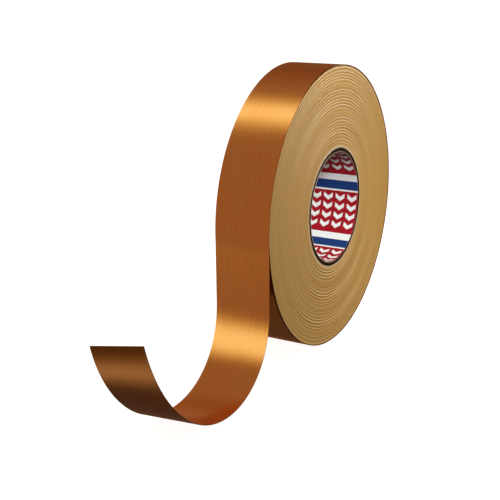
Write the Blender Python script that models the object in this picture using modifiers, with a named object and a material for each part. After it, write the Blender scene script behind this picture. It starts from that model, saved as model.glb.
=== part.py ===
"""Copper foil tape roll: a laminated strip wound on a board core, with its free tail hanging and curled.

Frame: metres, +Z up, the roll's axis along X, the free tail towards -Y. The roll stands on its rim at
z = 0, and the tail's bend rests on the same surface. Angles round the roll run from +Y towards +Z.
"""

from math import cos, hypot, pi, radians, sin

import bmesh
import bpy
from mathutils import Matrix, Vector
from mathutils.geometry import interpolate_bezier

MM = 0.001

# Driving dimensions
TAPE_WIDTH = 38.0 * MM
ROLL_RADIUS = 96.5 * MM
BORE_RADIUS = 38.1 * MM  # 76.2 mm bore
CORE_WALL = 2.8 * MM
CORE_RECESS = 0.4 * MM  # how far each end of the core sits behind the tape's edges
LINING_THICKNESS = 0.16 * MM
FACE_PLY_THICKNESS = 0.14 * MM
BOARD_PLIES = 5
PLY_GAP = 0.02 * MM

FOIL_THICKNESS = 0.07 * MM
ADHESIVE_THICKNESS = 0.13 * MM
LINER_THICKNESS = 0.22 * MM
LAYER_GAP = 0.02 * MM
TURN_PITCH = 0.48 * MM
TURN_BANDS = 4  # the wound turns under the last one, in bands of whole turns

FACETS = 72
FACET_ANGLE = 2 * pi / FACETS
DEPARTURE_ANGLE = pi + FACET_ANGLE / 2  # where the tail leaves the roll
BUTT_GAP = 0.3 * MM  # between the last turn's inner end and the band it runs into

# The tail's far edge, seen along the axis, from the roll's centre
KNEE_DROP = 44.7 * MM  # the straight drop ends this far below the centre
KNEE_HANDLE = 30.0 * MM
LOWEST_REACH = 147.0 * MM  # how far the lowest point of the bend lies in front of the centre
LOWEST_HANDLE_IN = 29.5 * MM
LOWEST_HANDLE_OUT = 36.0 * MM
TIP_REACH = 222.5 * MM
TIP_DROP = 29.7 * MM
TIP_HANDLE = 35.7 * MM
TIP_SLOPE = radians(75.4)
# The near edge runs ahead of the far edge, more and more towards the tip
NEAR_EDGE_LEAD = Vector((0, -4.5 * MM, 10.1 * MM))
TAIL_BODIES = ("hang", "knee", "floor", "rise", "tip")
FLEX_GAP = 0.4 * MM  # between the tail's lengths, where it flexes
STATION_STEP = 4.0 * MM
TAIL_SAMPLES = 200

LAMINATE = (
    FOIL_THICKNESS + ADHESIVE_THICKNESS + LINER_THICKNESS + 2 * LAYER_GAP
)
LAST_TURN_SHRINK = TURN_PITCH * (DEPARTURE_ANGLE + pi / 2) / (2 * pi)
STANDING_HEIGHT = (ROLL_RADIUS - LAST_TURN_SHRINK) * cos(FACET_ANGLE / 2)
TIP_FRONT = TIP_REACH - NEAR_EDGE_LEAD.y
ROLL_CENTRE = Vector((0, (TIP_FRONT - ROLL_RADIUS) / 2, STANDING_HEIGHT))
HALF_WIDTH = TAPE_WIDTH / 2

# name: (base colour, metallic, roughness)
FINISHES = {
    "copper": ((0.56, 0.24, 0.07), 1.0, 0.32),
    "adhesive": ((0.62, 0.47, 0.24), 0.0, 0.45),
    "liner": ((0.10, 0.05, 0.02), 0.0, 0.35),
    "wound_edge": ((0.58, 0.41, 0.20), 0.0, 0.6),
    "board": ((0.30, 0.20, 0.11), 0.0, 0.85),
    "face_ply": ((0.55, 0.45, 0.30), 0.0, 0.8),
    "print": ((0.50, 0.04, 0.04), 0.0, 0.45),
}


def clear_scene():
    for obj in list(bpy.data.objects):
        bpy.data.objects.remove(obj, do_unlink=True)


def part_collection():
    collection = bpy.data.collections.new("copper_foil_tape_roll")
    bpy.context.scene.collection.children.link(collection)
    return collection


def finish(node_name, kind):
    """A Principled material of its own for one node."""
    colour, metallic, roughness = FINISHES[kind]
    material = bpy.data.materials.new(node_name + "_" + kind)
    material.use_nodes = True
    shader = material.node_tree.nodes["Principled BSDF"]
    shader.inputs["Base Color"].default_value = (*colour, 1)
    shader.inputs["Metallic"].default_value = metallic
    shader.inputs["Roughness"].default_value = roughness
    return material


def add_object(collection, name, data, kind, parent):
    obj = bpy.data.objects.new(name, data)
    data.materials.append(finish(name, kind))
    collection.objects.link(obj)
    obj.parent = parent
    return obj


def add_empty(collection, name, location, parent=None):
    empty = bpy.data.objects.new(name, None)
    empty.empty_display_size = 10 * MM
    collection.objects.link(empty)
    empty.parent = parent
    empty.location = location
    return empty


def turned_ring(collection, name, inner, outer, width, kind, parent):
    """A flat-ended ring about the roll's axis: a rectangular profile and a Screw modifier."""
    half = width / 2
    corners = [(outer, half), (outer, -half), (inner, -half), (inner, half)]
    mesh = bpy.data.meshes.new(name)
    mesh.from_pydata([(r, 0, z) for r, z in corners], [(0, 1), (1, 2), (2, 3), (3, 0)], [])
    ring = add_object(collection, name, mesh, kind, parent)
    screw = ring.modifiers.new("turn", "SCREW")
    screw.steps = screw.render_steps = FACETS
    screw.use_merge_vertices = True
    screw.merge_threshold = 0.00001
    # A flat facet, and not an edge, faces down
    ring.matrix_local = Matrix.Rotation(pi / 2, 4, "Y") @ Matrix.Rotation(FACET_ANGLE / 2, 4, "Z")
    return ring


def last_turn_radius(angle):
    """Outer radius of the last turn: it shrinks by one pitch in the turn behind the departure."""
    return ROLL_RADIUS - TURN_PITCH * (DEPARTURE_ANGLE - angle) / (2 * pi)


def on_circle(radius, angle):
    return (radius * cos(angle), radius * sin(angle))


def stepped_band(collection, name, inner, kind, parent):
    """The outermost band: round inside, and outside a spiral that ends in one step of a pitch."""
    angles = [DEPARTURE_ANGLE - i * FACET_ANGLE for i in range(FACETS + 1)]
    under_last_turn = LAMINATE + LAYER_GAP
    outside = [on_circle(last_turn_radius(a) - under_last_turn, a) for a in angles]
    inside = [on_circle(inner, a) for a in angles[:-1]]
    curve = bpy.data.curves.new(name, "CURVE")
    curve.dimensions = "2D"
    curve.fill_mode = "BOTH"
    curve.extrude = HALF_WIDTH
    for outline in (outside, inside):
        spline = curve.splines.new("POLY")
        spline.points.add(len(outline) - 1)
        for point, (u, v) in zip(spline.points, outline):
            point.co = (u, v, 0, 1)
        spline.use_cyclic_u = True
    band = add_object(collection, name, curve, kind, parent)
    # The outline's plane, X then Y, becomes the roll's side view, Y then Z
    band.matrix_local = Matrix(((0, 0, 1, 0), (1, 0, 0, 0), (0, 1, 0, 0), (0, 0, 0, 1)))
    return band


def make_core(collection, roll):
    """The board core: a printed lining, plain board plies and a smooth face ply, glued one on another."""
    width = TAPE_WIDTH - 2 * CORE_RECESS
    gaps = (BOARD_PLIES + 1) * PLY_GAP
    board = (CORE_WALL - LINING_THICKNESS - FACE_PLY_THICKNESS - gaps) / BOARD_PLIES
    plies = [("core_printed_lining", LINING_THICKNESS, "print")]
    plies += [(f"core_board_ply_{i + 1}", board, "board") for i in range(BOARD_PLIES)]
    plies += [("core_face_ply", FACE_PLY_THICKNESS, "face_ply")]
    radius = BORE_RADIUS
    for name, thickness, kind in plies:
        turned_ring(collection, name, radius, radius + thickness, width, kind, roll)
        radius += thickness + PLY_GAP


def make_wound_turns(collection, roll):
    """The turns under the last one, as rings one inside another."""
    start = BORE_RADIUS + CORE_WALL + LAYER_GAP
    pitch = (ROLL_RADIUS - 2 * TURN_PITCH - start) / TURN_BANDS
    for i in range(TURN_BANDS):
        name = f"wound_turns_{i + 1}"
        inner = start + i * pitch
        if i < TURN_BANDS - 1:
            outer = inner + pitch - LAYER_GAP
            turned_ring(collection, name, inner, outer, TAPE_WIDTH, "wound_edge", roll)
        else:
            stepped_band(collection, name, inner, "wound_edge", roll)


class Section:
    """One cut across the strip: a point on the foil's face at each edge, and its outward direction."""

    def __init__(self, far, far_out, near, near_out):
        self.edges = ((far, far_out), (near, near_out))

    def corners(self, outer_depth, inner_depth):
        (far, far_out), (near, near_out) = self.edges
        return (
            far - far_out * outer_depth,
            near - near_out * outer_depth,
            near - near_out * inner_depth,
            far - far_out * inner_depth,
        )


def loft_strip(collection, name, sections, outer_depth, inner_depth, kind, parent, origin):
    """A closed solid through rectangular sections."""
    bm = bmesh.new()
    loops = [
        [bm.verts.new(corner - origin) for corner in section.corners(outer_depth, inner_depth)]
        for section in sections
    ]
    # Both broad sides, far to near, take the same diagonal, so neighbouring layers stay parallel
    for this, following in zip(loops, loops[1:]):
        for a, b in ((0, 1), (1, 2), (3, 2), (0, 3)):
            bm.faces.new((this[a], following[b], this[b]))
            bm.faces.new((this[a], following[a], following[b]))
    bm.faces.new(loops[0])
    bm.faces.new(reversed(loops[-1]))
    bmesh.ops.recalc_face_normals(bm, faces=bm.faces)
    mesh = bpy.data.meshes.new(name)
    bm.to_mesh(mesh)
    bm.free()
    return add_object(collection, name, mesh, kind, parent)


def strip_layers():
    """(name, finish, depth of its outer face, depth of its inner face), from the foil inwards."""
    depth = 0
    layers = []
    for name, kind, thickness in (
        ("foil", "copper", FOIL_THICKNESS),
        ("adhesive", "adhesive", ADHESIVE_THICKNESS),
        ("liner", "liner", LINER_THICKNESS),
    ):
        layers.append((name, kind, depth, depth + thickness))
        depth += thickness + LAYER_GAP
    return layers


def last_turn_sections():
    """Sections round the last turn, from where the tail leaves it back to where it goes under."""
    sections = []
    for i in range(FACETS + 1):
        angle = DEPARTURE_ANGLE - i * FACET_ANGLE
        if i == FACETS:
            angle += BUTT_GAP / ROLL_RADIUS
        y, z = on_circle(last_turn_radius(angle), angle)
        outward = Vector((0, cos(angle), sin(angle)))
        point = ROLL_CENTRE + Vector((0, y, z))
        half = Vector((HALF_WIDTH, 0, 0))
        sections.append(Section(point - half, outward, point + half, outward))
    return sections


class TailPath:
    """The far edge of the tail as a curve by length, and the near edge that leads it."""

    def __init__(self):
        front, start_height = on_circle(ROLL_RADIUS, DEPARTURE_ANGLE)
        lowest_height = LAMINATE - STANDING_HEIGHT
        start = self.point(front, start_height)
        knee = self.point(front, -KNEE_DROP)
        lowest = self.point(-LOWEST_REACH, lowest_height)
        tip = self.point(-TIP_REACH, -TIP_DROP)
        toward_tip = Vector((0, -cos(TIP_SLOPE), sin(TIP_SLOPE)))
        down = Vector((0, 0, -1))
        back = Vector((0, 1, 0))
        into = interpolate_bezier(
            knee, knee + down * KNEE_HANDLE, lowest + back * LOWEST_HANDLE_IN, lowest, TAIL_SAMPLES
        )
        out = interpolate_bezier(
            lowest, lowest - back * LOWEST_HANDLE_OUT, tip - toward_tip * TIP_HANDLE, tip, TAIL_SAMPLES
        )
        self.points = [start] + into + out[1:]
        self.lengths = [0.0]
        for a, b in zip(self.points, self.points[1:]):
            self.lengths.append(self.lengths[-1] + (b - a).length)
        self.length = self.lengths[-1]
        self.lead_start = self.lengths[1]

    @staticmethod
    def point(y, z):
        return ROLL_CENTRE + Vector((-HALF_WIDTH, y, z))

    def far(self, s):
        i = 1
        while i < len(self.lengths) - 1 and self.lengths[i] < s:
            i += 1
        share = (s - self.lengths[i - 1]) / (self.lengths[i] - self.lengths[i - 1])
        return self.points[i - 1].lerp(self.points[i], share)

    def near(self, s):
        share = max(0, s - self.lead_start) / (self.length - self.lead_start)
        return self.far(s) + Vector((TAPE_WIDTH, 0, 0)) + NEAR_EDGE_LEAD * share**2

    def outward(self, edge, s):
        """The foil's outward direction at one edge, square to the edge in the side view."""
        step = STATION_STEP / 8
        run = edge(min(s + step, self.length)) - edge(max(s - step, 0))
        size = hypot(run.y, run.z)
        return Vector((0, run.z / size, -run.y / size))

    def section(self, s):
        return Section(self.far(s), self.outward(self.far, s), self.near(s), self.outward(self.near, s))

    def sections(self, start, end):
        count = max(2, round((end - start) / STATION_STEP))
        return [self.section(start + (end - start) * i / count) for i in range(count + 1)]

    def hinge(self, s):
        """The middle of the flex line at s, halfway through the laminate."""
        section = self.section(s)
        return sum(section.corners(LAMINATE / 2, LAMINATE / 2), Vector()) / 4


def make_last_turn(collection, roll):
    sections = last_turn_sections()
    for layer, kind, outer, inner in strip_layers():
        loft_strip(collection, "last_turn_" + layer, sections, outer, inner, kind, roll, ROLL_CENTRE)


def make_tail(collection, roll):
    """The free tail as lengths that flex against each other, each with its own foil, adhesive and liner."""
    path = TailPath()
    piece = path.length / len(TAIL_BODIES)
    parent, parent_place = roll, ROLL_CENTRE
    for i, body in enumerate(TAIL_BODIES):
        place = path.hinge(i * piece)
        hinge = add_empty(collection, f"tail_{body}_hinge", place - parent_place, parent)
        start = i * piece + (FLEX_GAP if i == 0 else FLEX_GAP / 2)
        end = (i + 1) * piece - (0 if body == TAIL_BODIES[-1] else FLEX_GAP / 2)
        sections = path.sections(start, end)
        for layer, kind, outer, inner in strip_layers():
            loft_strip(collection, f"tail_{body}_{layer}", sections, outer, inner, kind, hinge, place)
        parent, parent_place = hinge, place


def main():
    clear_scene()
    collection = part_collection()
    roll = add_empty(collection, "roll_axis", ROLL_CENTRE)
    make_core(collection, roll)
    make_wound_turns(collection, roll)
    make_last_turn(collection, roll)
    make_tail(collection, roll)


main()
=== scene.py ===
"""The looks of the copper foil tape roll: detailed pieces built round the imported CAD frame.

Units are metres. The roll's axis runs along X, and the free tail towards -Y. Angles round the roll run from
+Y towards +Z. The tail is laid out by its length s from the point where it leaves the roll.
"""

from math import cos, floor, hypot, pi, radians, sin

import bpy
from mathutils import Matrix, Vector
from mathutils.geometry import interpolate_bezier


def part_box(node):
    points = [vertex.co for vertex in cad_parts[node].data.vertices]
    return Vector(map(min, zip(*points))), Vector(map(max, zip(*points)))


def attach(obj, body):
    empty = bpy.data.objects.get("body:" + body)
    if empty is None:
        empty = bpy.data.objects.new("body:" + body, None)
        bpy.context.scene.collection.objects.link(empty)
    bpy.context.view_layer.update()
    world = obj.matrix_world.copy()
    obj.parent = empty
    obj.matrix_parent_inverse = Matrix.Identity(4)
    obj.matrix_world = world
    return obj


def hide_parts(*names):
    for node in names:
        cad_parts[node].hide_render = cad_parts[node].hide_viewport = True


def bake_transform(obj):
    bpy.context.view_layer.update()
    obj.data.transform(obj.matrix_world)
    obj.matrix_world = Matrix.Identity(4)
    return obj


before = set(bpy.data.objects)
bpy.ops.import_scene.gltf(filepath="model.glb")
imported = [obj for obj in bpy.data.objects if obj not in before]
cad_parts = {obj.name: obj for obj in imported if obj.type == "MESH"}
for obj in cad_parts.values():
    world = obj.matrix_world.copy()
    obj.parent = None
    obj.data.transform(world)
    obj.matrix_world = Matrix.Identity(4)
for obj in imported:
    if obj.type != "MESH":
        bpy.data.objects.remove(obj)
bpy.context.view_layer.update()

MM = 0.001

# The roll, from the CAD nodes, which have 72 facets to a turn
FACET_ANGLE = 2 * pi / 72
PLY_LOW, PLY_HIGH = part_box("core_board_ply_1")
ROLL_CENTRE = (PLY_LOW + PLY_HIGH) / 2
HALF_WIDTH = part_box("wound_turns_1")[1].x
CORE_HALF_WIDTH = PLY_HIGH.x


def ring_radius(node):
    """A turned CAD ring's outer radius."""
    low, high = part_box(node)
    return (high.z - low.z) / 2 / cos(FACET_ANGLE / 2)


# The tape
ROLL_RADIUS = 96.5 * MM
BORE_RADIUS = 38.1 * MM
TURN_PITCH = 0.48 * MM
LAMINATE = 0.46 * MM
FOIL_DEPTH = (0.0, 0.085 * MM)
ADHESIVE_DEPTH = (FOIL_DEPTH[1], 0.23 * MM)
LINER_DEPTH = (ADHESIVE_DEPTH[1], LAMINATE)
DEPARTURE_ANGLE = pi + FACET_ANGLE / 2
STANDING_HEIGHT = ROLL_CENTRE.z
WINDING_START = ring_radius("core_face_ply") + 0.02 * MM

# The tail's far edge, seen along the axis, from the roll's centre
KNEE_DROP = 44.7 * MM
KNEE_HANDLE = 30.0 * MM
LOWEST_REACH = 147.0 * MM
LOWEST_HANDLE_IN = 29.5 * MM
LOWEST_HANDLE_OUT = 36.0 * MM
TIP_REACH = 222.5 * MM
TIP_DROP = 29.7 * MM
TIP_HANDLE = 35.7 * MM
TIP_SLOPE = radians(75.4)
NEAR_EDGE_LEAD = Vector((0, -4.5 * MM, 10.1 * MM))
TAIL_BODIES = ("tail_hang", "tail_knee", "tail_floor", "tail_rise", "tail_tip")
SKEW_REACH = 40 * MM  # how far back from the tip its askew cut is made up for
FAR_SKEW = 0.9 * MM
NEAR_SKEW = -0.5 * MM
DEPARTURE_REACH = 6 * MM  # over which the last turn's curve becomes the straight drop


# ---------------------------------------------------------------- node helpers


class Nodes:
    """A short way to write a node tree."""

    def __init__(self, owner):
        owner.use_nodes = True
        self.owner = owner
        self.tree = owner.node_tree
        self.tree.nodes.clear()

    @classmethod
    def material(cls, name):
        return cls(bpy.data.materials.new(name))

    def add(self, kind, **settings):
        """A new node with those settings."""
        node = self.tree.nodes.new(kind)
        for key, value in settings.items():
            setattr(node, key, value)
        return node

    def feed(self, socket, value):
        """Links the value to the socket, or sets it there if it is a constant."""
        if isinstance(value, bpy.types.NodeSocket):
            self.tree.links.new(value, socket)
        else:
            socket.default_value = value

    def math(self, operation, *values):
        node = self.add("ShaderNodeMath", operation=operation)
        for socket, value in zip(node.inputs, values):
            self.feed(socket, value)
        return node.outputs[0]

    def map(self, value, low, high, to_low=0.0, to_high=1.0, smooth=True):
        node = self.add("ShaderNodeMapRange")
        node.interpolation_type = "SMOOTHSTEP" if smooth else "LINEAR"
        for socket, v in zip(node.inputs, (value, low, high, to_low, to_high)):
            self.feed(socket, v)
        return node.outputs[0]

    def mix(self, share, a, b):
        """Mixes two colours."""
        node = self.add("ShaderNodeMix", data_type="RGBA")
        for socket, value in zip((node.inputs[0], node.inputs[6], node.inputs[7]), (share, a, b)):
            self.feed(socket, value)
        return node.outputs[2]

    def shade(self, colour, share):
        """Scales a colour by a number."""
        node = self.add("ShaderNodeVectorMath", operation="SCALE")
        self.feed(node.inputs[0], colour if isinstance(colour, bpy.types.NodeSocket) else colour[:3])
        self.feed(node.inputs[3], share)
        return node.outputs[0]

    def uv(self):
        """The two UV coordinates as numbers."""
        split = self.add("ShaderNodeSeparateXYZ")
        self.feed(split.inputs[0], self.add("ShaderNodeUVMap", uv_map="UVMap").outputs[0])
        return split.outputs[0], split.outputs[1]

    def place(self, u, v, w=0.0):
        """Three numbers as one vector."""
        node = self.add("ShaderNodeCombineXYZ")
        for socket, value in zip(node.inputs, (u, v, w)):
            self.feed(socket, value)
        return node.outputs[0]

    def noise(self, vector, scale=1.0, detail=2.0, roughness=0.5):
        node = self.add("ShaderNodeTexNoise")
        self.feed(node.inputs["Vector"], vector)
        node.inputs["Scale"].default_value = scale
        node.inputs["Detail"].default_value = detail
        node.inputs["Roughness"].default_value = roughness
        return node.outputs[0]

    def bump(self, height, distance, normal=None):
        node = self.add("ShaderNodeBump")
        node.inputs["Strength"].default_value = 1.0
        node.inputs["Distance"].default_value = distance
        self.feed(node.inputs["Height"], height)
        if normal:
            self.feed(node.inputs["Normal"], normal)
        return node.outputs[0]

    def principled(self, **values):
        """The finished material. Each value is named after its socket, with underscores for spaces."""
        shader = self.add("ShaderNodeBsdfPrincipled")
        output = self.add("ShaderNodeOutputMaterial")
        self.tree.links.new(shader.outputs[0], output.inputs[0])
        for key, value in values.items():
            self.feed(shader.inputs[key.replace("_", " ")], value)
        return self.owner


# ------------------------------------------------------------------- materials


def copper_foil():
    """The glossy outer face. U counts tape widths from where the tail leaves the roll, and V runs across."""
    n = Nodes.material("copper foil")
    u, v = n.uv()
    streaks = n.noise(n.place(n.math("MULTIPLY", u, 1.2), n.math("MULTIPLY", v, 46)), detail=3)
    cloud = n.noise(n.place(u, v, 3.0), scale=1.6, detail=3)
    fine = n.noise(n.place(n.math("MULTIPLY", u, 9), n.math("MULTIPLY", v, 260), 7.0), detail=2)
    colour = n.mix(n.map(streaks, 0.3, 0.7), (0.80, 0.385, 0.118, 1), (0.88, 0.43, 0.135, 1))
    colour = n.mix(n.map(cloud, 0.35, 0.7, 0.0, 0.35), colour, (0.82, 0.36, 0.10, 1))
    # Painted shade: the near slit edge is darkened along the top of the last turn, where it lies back over
    # the roll
    edge = n.math("MULTIPLY", n.map(v, 0.955, 0.99), n.map(u, -3.9, -2.5, 0.8, 0.0))
    colour = n.mix(edge, colour, (0.10, 0.035, 0.008, 1))
    rough = n.math("ADD", n.map(streaks, 0.25, 0.75, 0.165, 0.185), n.map(cloud, 0.3, 0.7, 0.0, 0.03))
    normal = n.bump(fine, 0.0012 * MM)
    normal = n.bump(streaks, 0.005 * MM, normal=normal)
    return n.principled(Base_Color=colour, Metallic=1.0, Roughness=rough, Normal=normal)


def adhesive():
    n = Nodes.material("adhesive")
    u, v = n.uv()
    cloud = n.noise(n.place(n.math("MULTIPLY", u, 14), n.math("MULTIPLY", v, 14)), detail=4)
    colour = n.mix(n.map(cloud, 0.3, 0.7), (0.42, 0.26, 0.10, 1), (0.50, 0.32, 0.13, 1))
    rough = n.map(cloud, 0.3, 0.7, 0.35, 0.5)
    return n.principled(Base_Color=colour, Roughness=rough, Normal=n.bump(cloud, 0.02 * MM))


def liner_back():
    n = Nodes.material("liner back")
    u, v = n.uv()
    streaks = n.noise(n.place(n.math("MULTIPLY", u, 1.5), n.math("MULTIPLY", v, 38), 5.0), detail=3)
    grain = n.noise(n.place(n.math("MULTIPLY", u, 60), n.math("MULTIPLY", v, 90), 5.0), detail=3)
    colour = n.mix(n.map(streaks, 0.3, 0.7), (0.44, 0.162, 0.026, 1), (0.49, 0.180, 0.031, 1))
    rough = n.math("ADD", n.map(streaks, 0.25, 0.75, 0.17, 0.22), n.map(grain, 0.3, 0.7, 0.0, 0.03))
    normal = n.bump(grain, 0.003 * MM)
    return n.principled(Base_Color=colour, Metallic=1.0, Roughness=rough, Normal=normal)


def paper_edge():
    """The cut edge of the release liner: brown paper fibres."""
    n = Nodes.material("paper edge")
    u, v = n.uv()
    fibres = n.noise(n.place(n.math("MULTIPLY", u, 120), n.math("MULTIPLY", v, 9)), detail=4)
    colour = n.mix(n.map(fibres, 0.3, 0.7), (0.16, 0.085, 0.032, 1), (0.26, 0.15, 0.065, 1))
    return n.principled(Base_Color=colour, Roughness=0.7, Normal=n.bump(fibres, 0.03 * MM))


RING_LINE_TURNS = 4.3  # from one thin line on the winding's side to the next
FIRST_TURNS_AT = 112.3  # the paler turns next to the core begin after so many


def wound_edge():
    """The side of the winding.

    U counts the turns along the spiral, and V runs across one turn from its foil.
    """
    n = Nodes.material("wound edge")
    u, v = n.uv()
    turn = n.math("ADD", u, v)
    tone = n.noise(n.place(n.math("MULTIPLY", u, 0.9), 0.0), detail=2, roughness=0.6)
    broad = n.noise(n.place(n.math("MULTIPLY", turn, 0.13), 4.0), detail=2)
    along = n.noise(n.place(n.math("MULTIPLY", u, 26), n.math("MULTIPLY", v, 1.5)), detail=4)
    fibres = n.noise(n.place(n.math("MULTIPLY", u, 420), n.math("MULTIPLY", v, 5), 2.0), detail=3)
    colour = n.mix(n.map(tone, 0.3, 0.7), (0.43, 0.244, 0.058, 1), (0.53, 0.312, 0.080, 1))
    colour = n.mix(n.map(broad, 0.35, 0.65, 0.0, 0.5), colour, (0.50, 0.266, 0.058, 1))
    colour = n.mix(n.map(along, 0.4, 0.75, 0.0, 0.15), colour, (0.56, 0.345, 0.104, 1))
    # Every few turns one was wound a little harder, and shows as a thin line. The dark lines are painted
    # shade and the pale lines between them painted highlights, made strongest above and below the bore,
    # where light from above catches the rings
    painted_light_sectors = n.math("SINE", n.math("SUBTRACT", DEPARTURE_ANGLE, n.math("MULTIPLY", u, 2 * pi)))
    painted_light_sectors = n.map(n.math("ABSOLUTE", painted_light_sectors), 0.2, 0.95, 0.25, 1.0)
    drift = n.noise(n.place(n.math("MULTIPLY", turn, 0.07), 9.0), detail=1)
    count = n.math("MULTIPLY", turn, 2 * pi / RING_LINE_TURNS)
    beat = n.math("SINE", n.math("ADD", count, n.math("MULTIPLY", drift, 9)))
    depth = n.map(n.noise(n.place(n.math("MULTIPLY", turn, 0.10), 17.0), detail=1), 0.35, 0.65, 0.25, 0.75)
    depth = n.math("MULTIPLY", depth, painted_light_sectors)
    ring_line_painted_shade = n.math("MULTIPLY", n.map(beat, 0.55, 0.97), depth)
    ring_line_painted_highlight = n.math("MULTIPLY", n.map(beat, -0.95, -0.55, 1.0, 0.0), depth)
    foil_line = n.map(v, 0.03, 0.2, 0.45, 0.0)
    gap_line = n.map(v, 0.9, 1.0, 0.0, 0.4)
    first_turns = n.map(turn, FIRST_TURNS_AT, FIRST_TURNS_AT + 1.3, 0.0, 0.55)
    colour = n.mix(ring_line_painted_shade, colour, (0.22, 0.115, 0.028, 1))
    colour = n.mix(ring_line_painted_highlight, colour, (0.78, 0.56, 0.29, 1))
    colour = n.mix(foil_line, colour, (0.22, 0.10, 0.03, 1))
    colour = n.mix(gap_line, colour, (0.16, 0.09, 0.03, 1))
    colour = n.mix(first_turns, colour, (0.72, 0.56, 0.33, 1))
    normal = n.bump(fibres, 0.02 * MM)
    return n.principled(Base_Color=colour, Roughness=0.62, Specular_IOR_Level=0.2, Normal=normal)


def core_board(tone):
    """Dark brown board, a little different on each ply. Its very dark tone is partly the board's own brown
    and partly painted shade, for the shadow where the plies sit back from the tape's side.

    U runs once round the core, and V through the ply in millimetres, or across it as a share of its width.
    """
    n = Nodes.material(f"core board {tone:.2f}")
    u, v = n.uv()
    fibres = n.noise(n.place(n.math("MULTIPLY", u, 300), n.math("MULTIPLY", v, 30), tone * 40), detail=5)
    specks = n.noise(n.place(n.math("MULTIPLY", u, 900), n.math("MULTIPLY", v, 90), tone * 80), detail=2)
    low = (0.034 * tone, 0.018 * tone, 0.010 * tone, 1)
    high = (0.078 * tone, 0.043 * tone, 0.024 * tone, 1)
    colour = n.mix(n.map(fibres, 0.3, 0.7), low, high)
    colour = n.mix(n.map(specks, 0.66, 0.74, 0.0, 0.4), colour, (0.12, 0.075, 0.045, 1))
    normal = n.bump(fibres, 0.08 * MM)
    return n.principled(Base_Color=colour, Roughness=0.88, Specular_IOR_Level=0.12, Normal=normal)


def face_ply():
    n = Nodes.material("core face ply")
    u, v = n.uv()
    fibres = n.noise(n.place(n.math("MULTIPLY", u, 260), n.math("MULTIPLY", v, 12)), detail=4)
    colour = n.mix(n.map(fibres, 0.3, 0.7), (0.52, 0.40, 0.24, 1), (0.66, 0.53, 0.34, 1))
    return n.principled(Base_Color=colour, Roughness=0.75, Normal=n.bump(fibres, 0.03 * MM))


# The print's sizes round the bore, as shares of a turn
PRINT_REPEAT = 67.7 / 360
PRINT_START = 23.4 / 360
PRINT_ENDS = 0.58

# Its parts along one repeat, as shares of the repeat
PRINT_BLUR = 0.003
BLUE_STRIPE = (0.12, 0.275)
RED_GROUND = (0.303, 1.0)
MARKS_START = 0.36
MARKS_LENGTH = 0.60
MARK_COLUMNS = 4
MARK_ROWS = 4

# The lining's seam, in turns: where it starts at the far end, and how far back it runs on its way across
SEAM_PLACE = 0.47
SEAM_SLANT = 0.23


def core_print():
    """A plain generic print: a red ground, blue and white stripes along the axis, and columns of chevrons.

    U runs once round the bore from +Y, and V across it from the far end.
    """
    n = Nodes.material("core print")
    u, v = n.uv()
    # The strip's ends meet at PRINT_ENDS of a turn, out of step
    around = n.math("SUBTRACT", n.math("FRACT", n.math("SUBTRACT", u, PRINT_ENDS - 1)), 1 - PRINT_ENDS)
    # Six whole repeats more keep the number above zero
    back = n.math("SUBTRACT", PRINT_START + 6 * PRINT_REPEAT, around)
    repeat = n.math("FRACT", n.math("DIVIDE", back, PRINT_REPEAT))
    wobble = n.noise(n.place(n.math("MULTIPLY", u, 160), n.math("MULTIPLY", v, 26)), detail=3)
    edge = n.math("ADD", repeat, n.map(wobble, 0.3, 0.7, -0.002, 0.002))

    def band(low, high):
        after_low = n.map(edge, low - PRINT_BLUR, low + PRINT_BLUR)
        before_high = n.map(edge, high - PRINT_BLUR, high + PRINT_BLUR, 1.0, 0.0)
        return n.math("MULTIPLY", after_low, before_high)

    red = n.mix(n.map(wobble, 0.3, 0.7), (0.32, 0.003, 0.011, 1), (0.38, 0.006, 0.016, 1))
    blue = n.mix(n.map(wobble, 0.3, 0.7), (0.006, 0.034, 0.155, 1), (0.009, 0.044, 0.185, 1))
    white = n.mix(n.map(wobble, 0.3, 0.7), (0.80, 0.80, 0.79, 1), (0.88, 0.88, 0.87, 1))
    colour = n.mix(band(*BLUE_STRIPE), white, blue)
    colour = n.mix(band(*RED_GROUND), colour, red)

    column = n.math("FRACT", n.math("MULTIPLY", v, MARK_COLUMNS))
    across = n.math("ABSOLUTE", n.math("SUBTRACT", column, 0.5))
    rows = n.math("MULTIPLY", n.math("SUBTRACT", edge, MARKS_START), MARK_ROWS / MARKS_LENGTH)
    stroke = n.math("ABSOLUTE", n.math("SUBTRACT", n.math("FRACT", n.math("ADD", rows, across)), 0.5))
    chevron = n.math("MULTIPLY", n.map(stroke, 0.21, 0.26, 1.0, 0.0), n.map(across, 0.36, 0.39, 1.0, 0.0))
    after_first = n.map(rows, -0.16, -0.13)
    before_last = n.map(rows, MARK_ROWS - 0.19, MARK_ROWS - 0.16, 1.0, 0.0)
    field = n.math("MULTIPLY", after_first, before_last)
    colour = n.mix(n.math("MULTIPLY", chevron, field), colour, white)

    # The paper's seam runs round the bore as a helix, and shows as a thin brown line
    helix = n.math("FRACT", n.math("ADD", u, n.math("MULTIPLY", v, SEAM_SLANT)))
    from_seam = n.math("ABSOLUTE", n.math("SUBTRACT", helix, SEAM_PLACE))
    seam = n.map(from_seam, 0.0005, 0.0016, 1.0, 0.0)
    colour = n.mix(n.math("MULTIPLY", seam, 0.6), colour, (0.30, 0.22, 0.17, 1))
    grain = n.noise(n.place(n.math("MULTIPLY", u, 700), n.math("MULTIPLY", v, 110), 1.0), detail=3)
    height = n.math("SUBTRACT", n.math("MULTIPLY", grain, 0.15), seam)
    rough = n.map(grain, 0.3, 0.7, 0.38, 0.48)
    normal = n.bump(height, 0.05 * MM)
    return n.principled(Base_Color=colour, Roughness=rough, Specular_IOR_Level=0.25, Normal=normal)


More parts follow.
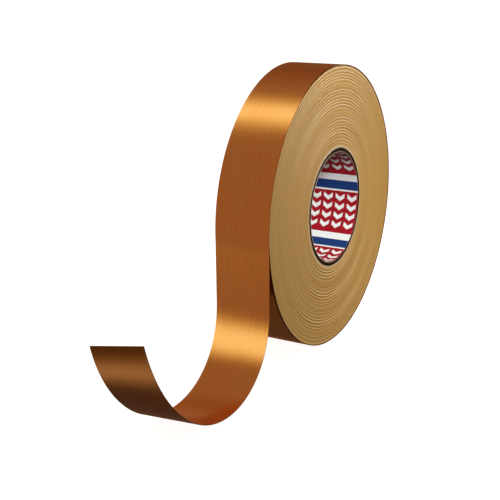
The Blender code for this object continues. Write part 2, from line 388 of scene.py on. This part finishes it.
def pale_floor():
    n = Nodes.material("pale floor")
    where = n.add("ShaderNodeTexCoord").outputs["Object"]
    cloud = n.noise(where, scale=3.0, detail=2)
    colour = n.mix(n.map(cloud, 0.3, 0.7), (0.90, 0.90, 0.90, 1), (0.93, 0.93, 0.925, 1))
    return n.principled(
        Base_Color=colour,
        Roughness=0.9,
        Specular_IOR_Level=0.0,
        Emission_Color=(1, 1, 1, 1),
        Emission_Strength=FLOOR_GLOW,
    )


# ----------------------------------------------------------------- mesh pieces


class Strip:
    """Quads with a normal and a UV for each corner, gathered and then made into one mesh."""

    def __init__(self):
        self.points, self.faces, self.normals, self.uvs, self.slots = [], [], [], [], []

    def point(self, p):
        """Adds a point, and gives its number."""
        self.points.append(p)
        return len(self.points) - 1

    def face(self, corners, normals, uvs, slot=0):
        self.faces.append(corners)
        self.normals.extend(normals)
        self.uvs.extend(uvs)
        self.slots.append(slot)

    def make(self, name, materials):
        mesh = bpy.data.meshes.new(name)
        mesh.from_pydata(self.points, [], self.faces)
        layer = mesh.uv_layers.new(name="UVMap")
        layer.data.foreach_set("uv", [c for uv in self.uvs for c in uv])
        mesh.polygons.foreach_set("material_index", self.slots)
        mesh.polygons.foreach_set("use_smooth", [True] * len(self.faces))
        for material in materials:
            mesh.materials.append(material)
        mesh.update()
        mesh.normals_split_custom_set([tuple(v) for v in self.normals])
        obj = bpy.data.objects.new(name, mesh)
        bpy.context.scene.collection.objects.link(obj)
        return obj


RING_SEGMENTS = 240
NEARWARD = Vector((1, 0, 0))


def ring(name, inner, outer, half_width, materials, across=1, ripple=0.0):
    """A ring about the roll's axis. Its ends wander by up to ripple, as cut board does.

    Its inside has so many quads across. The first material is for the inside, and the last for the rest.
    """
    strip = Strip()
    depth = outer - inner
    radial = 3 if ripple else 1
    # Each point names the side that leads to it, but the first one closes the far side
    profile = [(inner, -half_width + 2 * half_width * i / across, "inside") for i in range(across + 1)]
    profile += [(inner + depth * i / radial, half_width, "near") for i in range(1, radial + 1)]
    profile += [(outer, -half_width, "outside")]
    profile += [(outer - depth * i / radial, -half_width, "far") for i in range(1, radial)]
    count = len(profile)
    for i in range(RING_SEGMENTS):
        turn = i / RING_SEGMENTS
        angle = 2 * pi * turn
        for k, (r, x, _) in enumerate(profile):
            if abs(x) == half_width:
                cut = ripple * (wander(turn * 23, k) + wander(turn * 61, k + 9)) / 2
                x -= cut if x > 0 else -cut
            strip.point(ROLL_CENTRE + Vector((x, r * cos(angle), r * sin(angle))))
    for i in range(RING_SEGMENTS):
        j = (i + 1) % RING_SEGMENTS
        for k in range(count):
            m = (k + 1) % count
            side = profile[m][2] if m else "far"
            corners, normals, uvs = [], [], []
            for s, p in ((i, k), (i, m), (j, m), (j, k)):
                turn = (i + 1 if s == j else i) / RING_SEGMENTS
                angle = 2 * pi * turn
                out = Vector((0, cos(angle), sin(angle)))
                facing = {"inside": -out, "outside": out, "near": NEARWARD, "far": -NEARWARD}
                normals.append(facing[side])
                corners.append(s * count + p)
                r, x, _ = profile[p]
                through, along = (r - inner) / MM, (x + half_width) / 2 / half_width
                uvs.append((turn, along if side in ("inside", "outside") else through))
            strip.face(corners, normals, uvs, 0 if side == "inside" else len(materials) - 1)
    return strip.make(name, materials)


def wander(t, seed):
    """Smooth noise of one number from 0 to 1, the same on every run."""

    def at(i):
        value = sin(i * 127.1 + seed * 311.7) * 43758.5453
        return value - floor(value)

    i = floor(t)
    share = t - i
    share = share * share * (3 - 2 * share)
    return at(i) * (1 - share) + at(i + 1) * share


# ------------------------------------------------------------------ the winding

STATIONS = 180  # to a turn
RIDGE = (0.24, 0.80)  # where a turn's edge stands up, as shares of its thickness from the foil
RIDGE_FALL = 0.012  # mm, from the ridge's foil side to its liner side
GROOVE_DEPTH = 0.05  # mm
GROOVE_WANDER = 0.04  # mm
BANDS = ((1, 30), (30, 59), (59, 87), (87, 115))  # whole turns counted inwards, outermost band first


def turn_radius(turn):
    """The winding's outer radius after so many turns inwards from where the tail leaves."""
    return max(ROLL_RADIUS - TURN_PITCH * turn, WINDING_START)


def side_height(turn, angle):
    """How far the winding's side stands back from the tape's full width.

    It waves every four or five turns, out of step, and most above and below the bore.
    """
    sway = (0.03 + 0.13 * sin(angle) ** 2) * (0.35 + 0.65 * wander(turn / 11, 4))
    waves = sin(2 * pi * turn / 3.9 + 3 * wander(turn / 14, 1)) + sin(2 * pi * turn / 4.9)
    return (0.40 + sway * waves + 0.04 * wander(turn / 17, 2) + 0.03 * wander(turn * 1.3, 3)) * MM


def wound_band(name, first, last, material):
    """Whole turns of tape as one closed spiral. Each turn's edge stands up between two shallow grooves."""
    strip = Strip()
    count = (last - first) * STATIONS

    def place(station, share, groove):
        """The near point and the far one, that share of the way through the turn and groove mm deep."""
        turn = first + station / STATIONS
        radius = turn_radius(turn) * (1 - share) + turn_radius(turn + 1) * share
        angle = DEPARTURE_ANGLE - 2 * pi * turn
        x = HALF_WIDTH - side_height(turn + share, angle) - groove * MM
        y, z = radius * cos(angle), radius * sin(angle)
        return [strip.point(ROLL_CENTRE + Vector((side * x, y, z))) for side in (1, -1)]

    def groove_depth(station):
        return GROOVE_DEPTH + GROOVE_WANDER * wander(station / STATIONS * 1.1, 5)

    grooves = [place(i, 0.0, groove_depth(i)) for i in range(count + STATIONS + 1)]
    ridges = [(place(i, RIDGE[0], 0.0), place(i, RIDGE[1], RIDGE_FALL)) for i in range(count + 1)]

    def outward(station):
        angle = DEPARTURE_ANGLE - 2 * pi * (first + station / STATIONS)
        return Vector((0, cos(angle), sin(angle)))

    def across_turn(station):
        return grooves[station], *ridges[station], grooves[station + STATIONS]

    # The two cut sides
    smooth = (0, 0, 0)  # a zero normal leaves the corner to Blender's own
    v = (0.0, *RIDGE, 1.0)
    for i in range(count):
        a, b = across_turn(i), across_turn(i + 1)
        u = (first + i / STATIONS, first + (i + 1) / STATIONS)
        for k in range(3):
            for side in (0, 1):
                corners = [a[k][side], b[k][side], b[k + 1][side], a[k + 1][side]]
                uvs = [(u[0], v[k]), (u[1], v[k]), (u[1], v[k + 1]), (u[0], v[k + 1])]
                if side == 0:
                    corners, uvs = corners[::-1], uvs[::-1]
                strip.face(corners, [smooth] * 4, uvs)
    # The outermost turn's outside and the innermost one's inside
    for base, sign in ((0, 1), (count, -1)):
        for i in range(base, base + STATIONS):
            a, b = grooves[i], grooves[i + 1]
            corners = [a[0], b[0], b[1], a[1]] if sign == 1 else [a[0], a[1], b[1], b[0]]
            ends = [outward(i), outward(i + 1), outward(i + 1), outward(i)]
            if sign == -1:
                ends = [-outward(i), -outward(i), -outward(i + 1), -outward(i + 1)]
            t = (first + i / STATIONS, 0.5)
            strip.face(corners, ends, [t] * 4)
    # The two ends of the spiral
    for base, sign in ((0, 1), (count, -1)):
        chain = across_turn(base)
        along = Vector((0, -sin(DEPARTURE_ANGLE), cos(DEPARTURE_ANGLE))) * sign
        for a, b in zip(chain, chain[1:]):
            corners = [a[0], a[1], b[1], b[0]] if sign == 1 else [a[0], b[0], b[1], a[1]]
            strip.face(corners, [along] * 4, [(first, 0.5)] * 4)
    return strip.make(name, [material])


# --------------------------------------------------------------------- the tape


BEND_POINTS = 400  # on each of the tail's two curves


class Tape:
    """Cuts across the tape by length s: negative on the last turn, positive on the free tail."""

    def __init__(self):
        front, start_height = ROLL_RADIUS * cos(DEPARTURE_ANGLE), ROLL_RADIUS * sin(DEPARTURE_ANGLE)
        start = self.point(front, start_height)
        knee = self.point(front, -KNEE_DROP)
        lowest = self.point(-LOWEST_REACH, LAMINATE - STANDING_HEIGHT)
        tip = self.point(-TIP_REACH, -TIP_DROP)
        toward_tip = Vector((0, -cos(TIP_SLOPE), sin(TIP_SLOPE)))
        down, back = Vector((0, 0, -1)), Vector((0, 1, 0))
        into = self.bend(knee, down * KNEE_HANDLE, lowest, back * LOWEST_HANDLE_IN)
        out = self.bend(lowest, -back * LOWEST_HANDLE_OUT, tip, -toward_tip * TIP_HANDLE)
        self.points = [start] + into + out[1:]
        self.lengths = [0.0]
        for a, b in zip(self.points, self.points[1:]):
            self.lengths.append(self.lengths[-1] + (b - a).length)
        self.length = self.lengths[-1]
        self.lead_start = self.lengths[1]

    @staticmethod
    def point(y, z):
        """A point of the far edge, from the roll's centre."""
        return ROLL_CENTRE + Vector((-HALF_WIDTH, y, z))

    @staticmethod
    def bend(first, first_handle, last, last_handle):
        return interpolate_bezier(first, first + first_handle, last + last_handle, last, BEND_POINTS)

    def far(self, s):
        """The far edge at length s."""
        i = 1
        while i < len(self.lengths) - 1 and self.lengths[i] < s:
            i += 1
        share = (s - self.lengths[i - 1]) / (self.lengths[i] - self.lengths[i - 1])
        return self.points[i - 1].lerp(self.points[i], share)

    def near(self, s):
        """The near edge at length s. It gets ahead of the far one towards the tip."""
        share = max(0, s - self.lead_start) / (self.length - self.lead_start)
        return self.far(s) + Vector((2 * HALF_WIDTH, 0, 0)) + NEAR_EDGE_LEAD * share**2

    def outward(self, edge, s):
        """Which way the foil faces at an edge."""
        step = 1.5 * MM
        run = edge(s + step) - edge(max(s - step, 0))
        size = hypot(run.y, run.z)
        normal = Vector((0, run.z / size, -run.y / size))
        # The last turn's normal turns into the straight drop's
        share = min(1, s / DEPARTURE_REACH)
        first = Vector((0, cos(DEPARTURE_ANGLE), sin(DEPARTURE_ANGLE)))
        return first.lerp(normal, share * share * (3 - 2 * share)).normalized()

    def cut(self, s):
        """(far point, far outward, near point, near outward)"""
        if s >= 0:
            # The tip was cut a little askew
            skew = max(0, 1 - (self.length - s) / SKEW_REACH) ** 2
            a, b = s + FAR_SKEW * skew, s + NEAR_SKEW * skew
            return self.far(a), self.outward(self.far, a), self.near(b), self.outward(self.near, b)
        turn = -s / (2 * pi * ROLL_RADIUS)
        angle = DEPARTURE_ANGLE - 2 * pi * turn
        radius = ROLL_RADIUS - TURN_PITCH * turn
        out = Vector((0, cos(angle), sin(angle)))
        far = ROLL_CENTRE + out * radius - Vector((HALF_WIDTH, 0, 0))
        return far, out, far + Vector((2 * HALF_WIDTH, 0, 0)), out


TAPE = Tape()
COLUMNS = 8  # across the tape


def tape_layer(name, start, end, step, depths, materials, inset=0.0, open_start=False, open_end=False):
    """One layer of the tape, from length start to end and between two depths under the foil's face.

    The first material is its faces', and the last its edges'. inset is how far in its two edges stand.
    """
    strip = Strip()
    count = max(2, round((end - start) / step))
    rows = []
    for i in range(count + 1):
        s = start + (end - start) * i / count
        far, far_out, near, near_out = TAPE.cut(s)
        trim = Vector((inset, 0, 0))
        far, near = far + trim, near - trim
        row = []
        for depth in depths:
            a, b = far - far_out * depth, near - near_out * depth
            row.append([strip.point(a.lerp(b, c / COLUMNS)) for c in range(COLUMNS + 1)])
        outs = [far_out.lerp(near_out, c / COLUMNS).normalized() for c in range(COLUMNS + 1)]
        rows.append((s / 2 / HALF_WIDTH, row, outs))
    edge_slot = len(materials) - 1
    for (u0, a, out_a), (u1, b, out_b) in zip(rows, rows[1:]):
        for c in range(COLUMNS):
            v0, v1 = c / COLUMNS, (c + 1) / COLUMNS
            outs = [out_a[c], out_b[c], out_b[c + 1], out_a[c + 1]]
            uvs = [(u0, v0), (u1, v0), (u1, v1), (u0, v1)]
            top = [a[0][c], b[0][c], b[0][c + 1], a[0][c + 1]]
            under = [a[1][c], b[1][c], b[1][c + 1], a[1][c + 1]]
            strip.face(top, outs, uvs)
            strip.face(under[::-1], [-o for o in outs[::-1]], uvs[::-1])
        for c, x in ((0, -1), (COLUMNS, 1)):
            corners = [a[0][c], a[1][c], b[1][c], b[0][c]]
            if x == 1:
                corners = corners[::-1]
            edge_uvs = [(u0, 0.1), (u0, 0.9), (u1, 0.9), (u1, 0.1)]
            strip.face(corners, [Vector((x, 0, 0))] * 4, edge_uvs, edge_slot)
    closed_ends = [] if open_start else [(rows[0], rows[1])]
    closed_ends += [] if open_end else [(rows[-1], rows[-2])]
    for (u, row, _), (_, other, _) in closed_ends:
        away = (Vector(strip.points[row[0][0]]) - Vector(strip.points[other[0][0]])).normalized()
        for c in range(COLUMNS):
            corners = [row[0][c], row[0][c + 1], row[1][c + 1], row[1][c]]
            if row is rows[-1][1]:
                corners = corners[::-1]
            strip.face(corners, [away] * 4, [(u, c / COLUMNS)] * 4, edge_slot)
    return strip.make(name, materials)


# ----------------------------------------------------------------- build it all

PAPER_EDGE = paper_edge()
LAYERS = {  # each layer's depths under the foil's face, materials, slot and inset
    "foil": (FOIL_DEPTH, [copper_foil()], "copper_foil", 0.0),
    "adhesive": (ADHESIVE_DEPTH, [adhesive()], "adhesive", 0.03 * MM),
    "liner": (LINER_DEPTH, [liner_back(), PAPER_EDGE], "liner", 0.0),
}


LINING_THICKNESS = 0.18 * MM
PLY_TONES = (0.9, 1.15, 0.8, 1.05, 1.3)  # from the bore outwards
PLY_RECESSES = (0.03, 0.10, 0.02, 0.08, 0.0)  # mm
PLY_RIPPLE = 0.16 * MM
PLY_GAP = 0.01 * MM
FACE_PLY_PROUD = 0.1 * MM


def build_core():
    pieces = []
    print_material, edge_material = core_print(), face_ply()
    inner = BORE_RADIUS + LINING_THICKNESS
    lining_materials = [print_material, edge_material]
    lining = ring("core_lining", BORE_RADIUS, inner, CORE_HALF_WIDTH, lining_materials, across=12)
    pieces.append((lining, "core_printed_lining", "core_print"))
    for i, (tone, recess) in enumerate(zip(PLY_TONES, PLY_RECESSES), 1):
        node = f"core_board_ply_{i}"
        outer = ring_radius(node)
        half_width = CORE_HALF_WIDTH - recess * MM
        board = ring(f"core_ply_{i}", inner, outer, half_width, [core_board(tone)], ripple=PLY_RIPPLE)
        pieces.append((board, node, "core_board"))
        inner = outer + PLY_GAP
    outer = ring_radius("core_face_ply")
    face = ring("core_face", inner, outer, CORE_HALF_WIDTH + FACE_PLY_PROUD, [edge_material])
    pieces.append((face, "core_face_ply", "core_face"))
    for obj, node, slot in pieces:
        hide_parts(node)
        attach(obj, "roll")
    return [obj for obj, _, _ in pieces]


def build_winding():
    material = wound_edge()
    pieces = []
    for i, (first, last) in enumerate(BANDS):
        node = f"wound_turns_{len(BANDS) - i}"
        band = wound_band(f"winding_{len(BANDS) - i}", first, last, material)
        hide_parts(node)
        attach(band, "roll")
        pieces.append(band)
    return pieces


LAST_TURN_STEP = 2.2 * MM
LAST_TURN_GAP = 0.3 * MM  # from its start to where the tail leaves
TAIL_STEP = 0.9 * MM


def build_last_turn():
    pieces = {}
    start = LAST_TURN_GAP - 2 * pi * ROLL_RADIUS
    for layer, (depths, materials, slot, inset) in LAYERS.items():
        name = f"last_turn_of_{layer}"
        obj = tape_layer(name, start, 0.0, LAST_TURN_STEP, depths, materials, inset, open_end=True)
        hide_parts("last_turn_" + layer)
        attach(obj, "roll")
        pieces[layer] = obj
    return pieces


def build_tail():
    """Each piece bends over one hinge, from the middle of one CAD length to the middle of the next."""
    pieces = {layer: [] for layer in LAYERS}
    piece = TAPE.length / len(TAIL_BODIES)
    parent = "roll"
    for i, body in enumerate(TAIL_BODIES):
        hinge = i * piece
        start = max(0.0, hinge - piece / 2)
        last = body == TAIL_BODIES[-1]
        end = TAPE.length if last else hinge + piece / 2
        ends = {"open_start": True, "open_end": not last}
        for layer, (depths, materials, slot, inset) in LAYERS.items():
            name = f"{body}_{layer}_flexing"
            obj = tape_layer(name, start, end, TAIL_STEP, depths, materials, inset, **ends)
            nodes = [f"{body}_{layer}"] + ([f"{parent}_{layer}"] if parent != "roll" else [])
            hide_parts(*nodes)
            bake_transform(obj)
            pieces[layer].append(obj)
        parent = body
    return pieces


# ------------------------------------------------------------ floor and lights

FLOOR_SIZE = 12.0
FLOOR_DROP = 0.05 * MM  # under the tape
FLOOR_GLOW = 0.93
BAND_TINT = (0.80, 0.97, 0.88)
FRINGE_TINT = (1.0, 0.84, 0.40, 1)  # a band of light on copper is warmer where it fades


def build_floor():
    strip = Strip()
    for x, y in ((-1, -1), (1, -1), (1, 1), (-1, 1)):
        strip.point(Vector((x * FLOOR_SIZE, y * FLOOR_SIZE, -FLOOR_DROP)))
    strip.face([0, 1, 2, 3], [Vector((0, 0, 1))] * 4, [(0, 0), (1, 0), (1, 1), (0, 1)])
    floor_plane = strip.make("floor", [pale_floor()])
    floor_plane.visible_diffuse = False
    floor_plane.visible_glossy = False
    floor_plane.visible_shadow = False


def softbox(name, target, direction, distance, size, power, colour, only, falloff=None):
    """An area light in that direction from the target, for the pieces in only.

    falloff is (reach, steepness): the light is brightest along its middle and fades towards its long sides.
    """
    data = bpy.data.lights.new(name, "AREA")
    data.shape = "RECTANGLE"
    data.size, data.size_y = size
    data.energy = power
    data.color = colour
    light = bpy.data.objects.new(name, data)
    bpy.context.scene.collection.objects.link(light)
    toward = Vector(direction).normalized()
    light.location = Vector(target) + toward * distance
    # The light's X runs along the roll's axis as far as its direction allows
    side = (Vector((1, 0, 0)) - toward * toward.x).normalized()
    up = toward.cross(side)
    basis = Matrix((side, up, toward)).transposed().to_4x4()
    light.visible_camera = False
    light.rotation_mode = "QUATERNION"
    light.rotation_quaternion = basis.to_quaternion()
    if falloff:
        fade_across(data, *falloff)
    receivers = bpy.data.collections.new(name + " lights these")
    for obj in only:
        receivers.objects.link(obj)
    light.light_linking.receiver_collection = receivers


def fade_across(light, reach, steepness):
    """Fades a light's strength from its middle line, and warms it as it fades."""
    n = Nodes(light)
    split = n.add("ShaderNodeSeparateXYZ")
    n.feed(split.inputs[0], n.add("ShaderNodeNewGeometry").outputs["Parametric"])
    off = n.math("DIVIDE", n.math("ABSOLUTE", n.math("SUBTRACT", split.outputs[1], 0.5)), reach)
    glow = n.math("EXPONENT", n.math("MULTIPLY", n.math("POWER", off, steepness), -1))
    emission = n.add("ShaderNodeEmission")
    n.feed(emission.inputs["Color"], n.mix(n.map(glow, 0.3, 1.0, smooth=False), FRINGE_TINT, (1, 1, 1, 1)))
    n.feed(emission.inputs["Strength"], glow)
    n.tree.links.new(emission.outputs[0], n.add("ShaderNodeOutputLight").inputs[0])


def build_world():
    """White to the camera, a brown room in reflections, and a soft light from above for everything else."""
    n = Nodes(bpy.data.worlds.new("studio"))
    split = n.add("ShaderNodeSeparateXYZ")
    n.feed(split.inputs[0], n.add("ShaderNodeTexCoord").outputs["Generated"])
    _, y, z = split.outputs
    below = n.map(z, -0.75, -0.34, 0.275, 1.0)
    behind = n.map(y, 0.42, 0.95, 1.0, 0.8)
    warm = n.mix(n.map(y, 0.25, 0.8), (0.345, 0.200, 0.135, 1), (0.26, 0.105, 0.040, 1))
    room = n.shade(warm, n.math("MULTIPLY", below, behind))
    soft = n.shade((0.31, 0.265, 0.20), n.map(z, -0.2, 0.7, 0.06, 1.0))
    paths = n.add("ShaderNodeLightPath")
    seen = n.mix(paths.outputs["Is Glossy Ray"], soft, room)
    seen = n.mix(paths.outputs["Is Camera Ray"], seen, (1, 1, 1, 1))
    background = n.add("ShaderNodeBackground")
    n.feed(background.inputs["Color"], seen)
    output = n.add("ShaderNodeOutputWorld")
    n.tree.links.new(background.outputs[0], output.inputs[0])
    bpy.context.scene.world = n.owner


def build_lights(rim, tail_foil, tail_back, bore, face):
    """Four long lights make the tape's bright bands. The cut sides and the bore have their own lights."""
    rest = [o for o in bpy.data.objects if o.type == "MESH" and o not in face]
    rim_band = ROLL_CENTRE + Vector((0, -63.3, 72.8)) * MM
    softbox("rim band", rim_band, (-0.469, -0.04, 0.882), 0.7, (1.0, 0.5), 1.92, BAND_TINT, rim, (0.29, 2.2))
    bend = ROLL_CENTRE + Vector((0, -104, -75)) * MM
    toward = (-0.48, -0.81, 0.33)
    softbox("bend band", bend, toward, 0.7, (1.0, 0.80), 2.75, BAND_TINT, tail_foil, (0.33, 3.0))
    lift = ROLL_CENTRE + Vector((0, -205, -60)) * MM
    toward = (-0.565, -0.195, -0.80)
    softbox("lift band", lift, toward, 0.7, (1.0, 0.4), 0.84, (1, 1, 1), tail_back, (0.24, 2.2))
    foot = ROLL_CENTRE + Vector((0, -160, -94)) * MM
    toward = (-0.49, 0.82, 0.26)
    softbox("foot glow", foot, toward, 0.7, (1.0, 0.7), 0.30, (1.0, 0.62, 0.5), tail_foil, (0.36, 2.0))
    # The near cut side has a cool light close above, a pale one close below and a warm one far in front
    softbox("face key", ROLL_CENTRE, (0.16, 0, 0.16), 0.226, (0.08, 0.08), 0.28, (0.86, 1.0, 1.55), face)
    softbox("face side", ROLL_CENTRE, (0.20, 0.11, -0.08), 0.242, (0.15, 0.15), 0.18, (1, 0.95, 0.80), face)
    softbox("face fill", ROLL_CENTRE, (1, 0, 0), 0.9, (0.4, 0.4), 1.65, (1.0, 0.82, 0.42), face)
    softbox("far face fill", ROLL_CENTRE, (-0.8, 0.35, 0.5), 0.8, (0.4, 0.4), 2.6, (1.0, 0.90, 0.75), face)
    # The key and the fill reach everything but the cut sides
    softbox("key", ROLL_CENTRE, (0.46, 0.26, 0.44), 0.46, (0.35, 0.35), 0.7, (1.0, 0.97, 0.95), rest)
    softbox("fill", ROLL_CENTRE, (0.60, -0.62, 0.50), 1.4, (0.8, 0.8), 0.7, (1.0, 0.97, 0.95), rest)
    softbox("bore light", ROLL_CENTRE, (0.55, -0.66, 0.50), 1.0, (0.25, 0.25), 10.3, (0.93, 1.0, 1.0), bore)


LENS, SENSOR_WIDTH = 70.08, 36.0  # mm
CAMERA_PLACE = ROLL_CENTRE + Vector((288.6, -591.6, 165.1)) * MM
CAMERA_TURN, CAMERA_DROP, CAMERA_ROLL = 29.736, 16.772, -0.571  # degrees


def build_camera():
    data = bpy.data.cameras.new("camera")
    data.lens = LENS
    data.sensor_width = SENSOR_WIDTH
    data.clip_start, data.clip_end = 0.05, 50.0
    camera = bpy.data.objects.new("camera", data)
    bpy.context.scene.collection.objects.link(camera)
    aim = Matrix.Rotation(radians(CAMERA_TURN), 4, "Z") @ Matrix.Rotation(radians(90 - CAMERA_DROP), 4, "X")
    roll = Matrix.Rotation(radians(CAMERA_ROLL), 4, "Z")
    camera.matrix_world = Matrix.Translation(CAMERA_PLACE) @ aim @ roll
    bpy.context.scene.camera = camera


core = build_core()
winding = build_winding()
last_turn = build_last_turn()
tail = build_tail()
build_floor()
build_world()
build_lights([last_turn["foil"]], tail["foil"], tail["liner"], core[:1], winding + core[-1:])
build_camera()
bpy.context.scene.view_settings.view_transform = "Standard"
